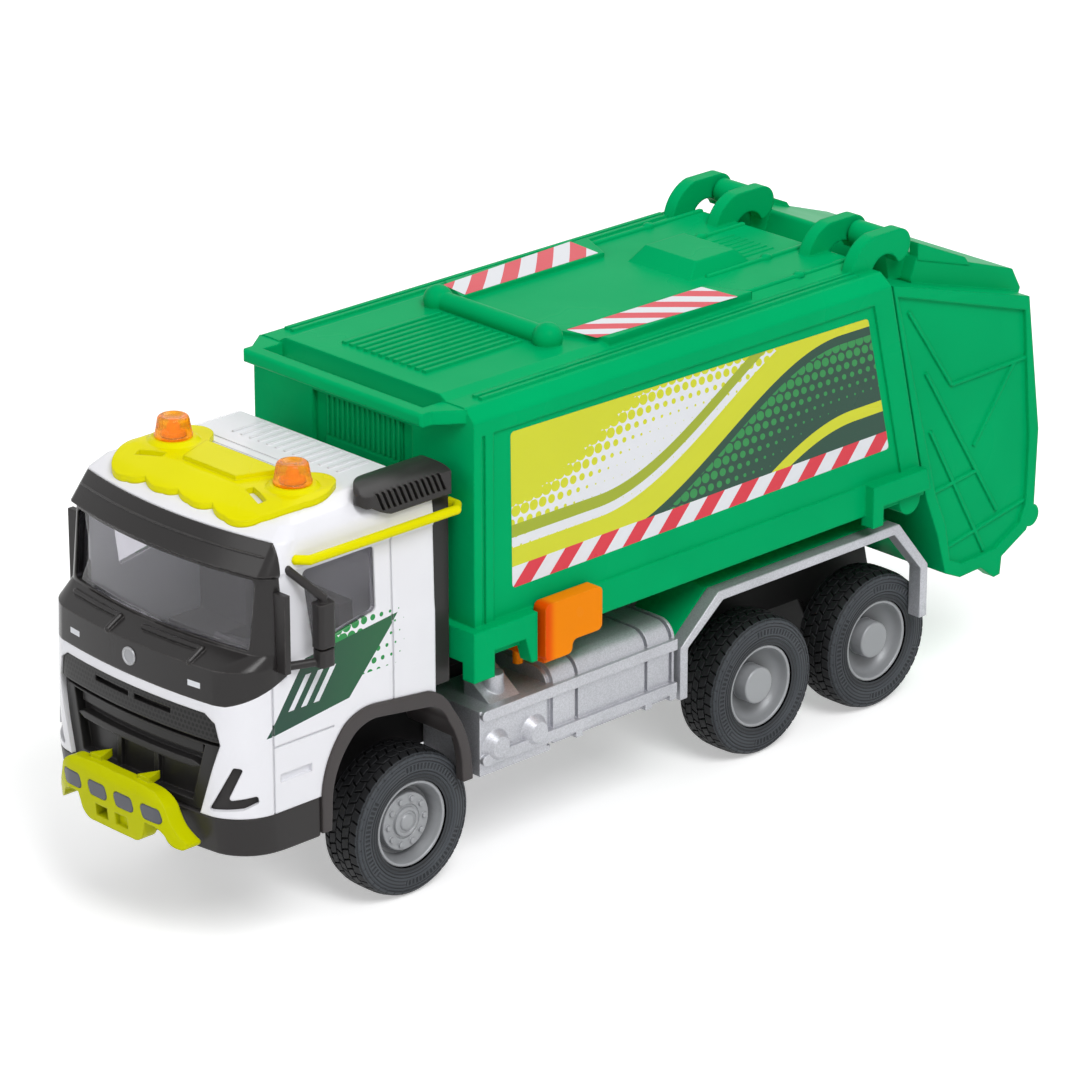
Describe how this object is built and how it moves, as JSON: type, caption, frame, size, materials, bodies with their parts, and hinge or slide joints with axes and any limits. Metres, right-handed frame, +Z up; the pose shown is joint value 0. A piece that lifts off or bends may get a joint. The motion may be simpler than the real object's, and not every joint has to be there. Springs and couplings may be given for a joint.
{
  "type": "toy garbage truck",
  "caption": "Toy refuse lorry: rolling axles, hollow body with an opening tailgate, a tilting bin lifter, glazed cab, beacons and bull bar.",
  "frame": {"origin": "on the floor, under the middle of the whole length and width", "axes": "+X forward, +Y to the vehicle's left, +Z up"},
  "size_m": [0.22, 0.0667, 0.1008],
  "materials": {
    "tyre_rubber": "matt moulded rubber",
    "axle_steel": "plain drawn steel",
    "wheel_grey": "satin moulded plastic",
    "trim_black": "satin moulded plastic",
    "beacon_orange": "clear tinted plastic",
    "silver_paint": "silver spray",
    "lime_plastic": "gloss moulded plastic",
    "lamp_grey": "printed dark grey",
    "cab_white": "gloss enamel",
    "clear_glass": "clear plastic",
    "tinted_glass": "smoked plastic",
    "interior_grey": "matt moulded plastic",
    "chassis_black": "matt moulded plastic",
    "lever_orange": "gloss moulded plastic",
    "body_green": "gloss moulded plastic"
  },
  "bodies": {
    "chassis": {"air_intake": "trim_black", "beacon_left": "beacon_orange", "beacon_right": "beacon_orange", "bull_bar": "lime_plastic", "bull_bar_lamps": "lamp_grey", "bumper": "trim_black", "cab_interior": "interior_grey", "cab_shell": "cab_white", "chassis_frame": "chassis_black", "container": "body_green", "grille": "trim_black", "handrail_left": "lime_plastic", "handrail_right": "lime_plastic", "headlamp_slots": "trim_black", "lever": "lever_orange", "light_bar": "lime_plastic", "mirror_left": "trim_black", "mirror_right": "trim_black", "rear_fender_left": "silver_paint", "rear_fender_right": "silver_paint", "side_glass": "tinted_glass", "side_tank_left": "silver_paint", "side_tank_right": "silver_paint", "wheel_arch_left": "trim_black", "wheel_arch_right": "trim_black", "wheel_housing_left": "body_green", "wheel_housing_right": "body_green", "windscreen_glass": "clear_glass", "windscreen_surround": "trim_black"},
    "front_axle": {"front_axle_pin": "axle_steel", "front_tyre_left": "tyre_rubber", "front_tyre_right": "tyre_rubber", "front_wheel_left": "wheel_grey", "front_wheel_right": "wheel_grey"},
    "middle_axle": {"middle_axle_pin": "axle_steel", "middle_tyre_left": "tyre_rubber", "middle_tyre_right": "tyre_rubber", "middle_wheel_left": "wheel_grey", "middle_wheel_right": "wheel_grey"},
    "rear_axle": {"rear_axle_pin": "axle_steel", "rear_tyre_left": "tyre_rubber", "rear_tyre_right": "tyre_rubber", "rear_wheel_left": "wheel_grey", "rear_wheel_right": "wheel_grey"},
    "tailgate": {"tailgate": "body_green", "packer_plate": "body_green"},
    "bin_lifter": {"bin_lifter": "body_green"}
  },
  "joints": [
    {"name": "front_axle_spin", "type": "hinge", "parent": "chassis", "child": "front_axle", "pos_m": [0.0591, 0, 0.0144], "axis": [0, 1, 0], "continuous": true},
    {"name": "middle_axle_spin", "type": "hinge", "parent": "chassis", "child": "middle_axle", "pos_m": [-0.034, 0, 0.0144], "axis": [0, 1, 0], "continuous": true},
    {"name": "rear_axle_spin", "type": "hinge", "parent": "chassis", "child": "rear_axle", "pos_m": [-0.0673, 0, 0.0144], "axis": [0, 1, 0], "continuous": true},
    {"name": "tailgate_hinge", "type": "hinge", "parent": "chassis", "child": "tailgate", "pos_m": [-0.0704, 0, 0.0974], "axis": [0, 1, 0], "range_deg": [0, 70]},
    {"name": "lifter_pivot", "type": "hinge", "parent": "tailgate", "child": "bin_lifter", "pos_m": [-0.1076, 0, 0.032], "axis": [0, 1, 0], "range_deg": [-60, 85]}
  ]
}
